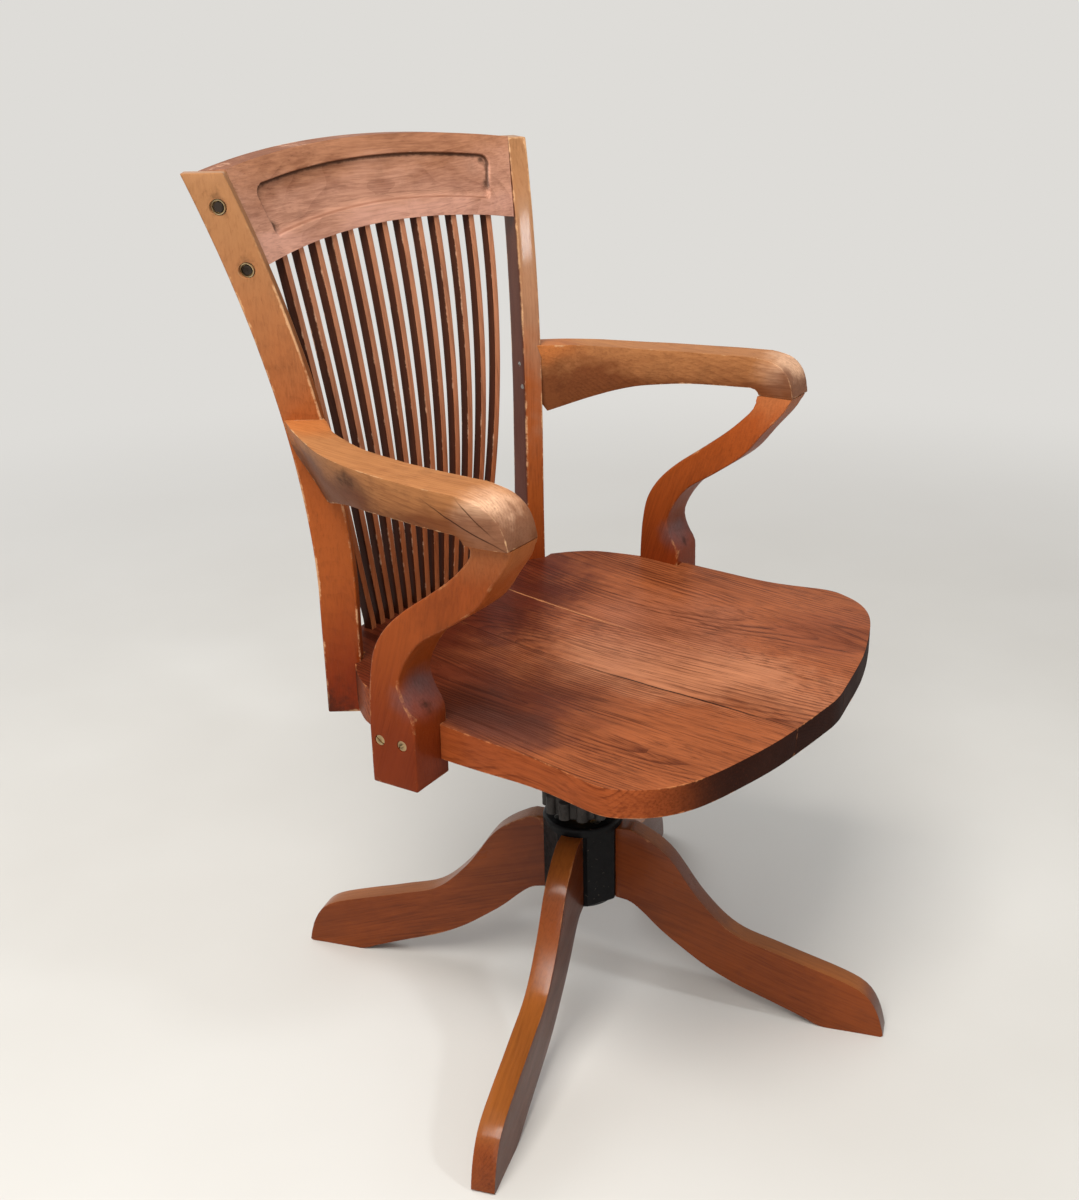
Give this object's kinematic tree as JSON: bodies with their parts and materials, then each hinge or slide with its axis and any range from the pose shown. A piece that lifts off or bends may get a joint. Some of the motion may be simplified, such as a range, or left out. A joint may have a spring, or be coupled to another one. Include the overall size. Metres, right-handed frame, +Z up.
{
  "type": "bankers swivel chair",
  "caption": "Oak bankers swivel chair: slatted back, bent arms on S-shaped supports, scooped seat, screw-height spindle in a black hub on four curved legs",
  "frame": {"origin": "on the floor, under the swivel axis, at the middle of the four soles", "axes": "+Z up along the swivel axis, -Y the way the sitter faces, +X to the sitter's left"},
  "size_m": [0.6754, 0.6754, 0.931],
  "materials": {
    "stained_oak": "satin",
    "black_hub_paint": "satin",
    "cast_iron": "matte",
    "bare_steel": "satin",
    "bronze": "satin",
    "brass": "satin"
  },
  "bodies": {
    "base": {"hub": "black_hub_paint", "hub_cap": "black_hub_paint", "hub_plate": "black_hub_paint", "spindle_sleeve": "bronze", "leg_front": "stained_oak", "leg_right": "stained_oak", "leg_back": "stained_oak", "leg_left": "stained_oak", "hub_cap_screws": "bare_steel", "hub_plate_screws": "bare_steel"},
    "swivel": {"thrust_washer": "bare_steel"},
    "nut": {"height_nut": "cast_iron"},
    "seat": {"spindle": "bare_steel", "spindle_pin": "bare_steel", "seat_spider": "cast_iron", "spider_screws": "bare_steel", "seat_board_right": "stained_oak", "seat_board_middle": "stained_oak", "seat_board_left": "stained_oak", "seat_dowels": "stained_oak", "back_post_right": "stained_oak", "back_post_left": "stained_oak", "top_rail": "stained_oak", "rail_bolts": "bare_steel", "rail_bolt_washers": "bare_steel", "slat_01": "stained_oak", "slat_02": "stained_oak", "slat_03": "stained_oak", "slat_04": "stained_oak", "slat_05": "stained_oak", "slat_06": "stained_oak", "slat_07": "stained_oak", "slat_08": "stained_oak", "slat_09": "stained_oak", "slat_10": "stained_oak", "slat_11": "stained_oak", "slat_12": "stained_oak", "slat_13": "stained_oak", "arm_right": "stained_oak", "arm_left": "stained_oak", "arm_support_right": "stained_oak", "arm_support_left": "stained_oak", "arm_dowels": "stained_oak", "post_screws": "bare_steel", "arm_screws": "bare_steel", "support_screws": "brass"}
  },
  "joints": [
    {"name": "seat_swivel", "type": "hinge", "parent": "base", "child": "swivel", "pos_m": [0, 0, 0.2318], "axis": [0, 0, 1], "continuous": true},
    {"name": "nut_turn", "type": "hinge", "parent": "swivel", "child": "nut", "pos_m": [0, 0, 0.2456], "axis": [0, 0, 1], "range_deg": [0, 4320]},
    {"name": "seat_height", "type": "slide", "parent": "swivel", "child": "seat", "axis": [0, 0, 1], "range_m": [0, 0.06]}
  ],
  "couplings": [
    {"joint": "seat_height", "follows": "nut_turn", "m_per_rad": 0.0007957}
  ]
}
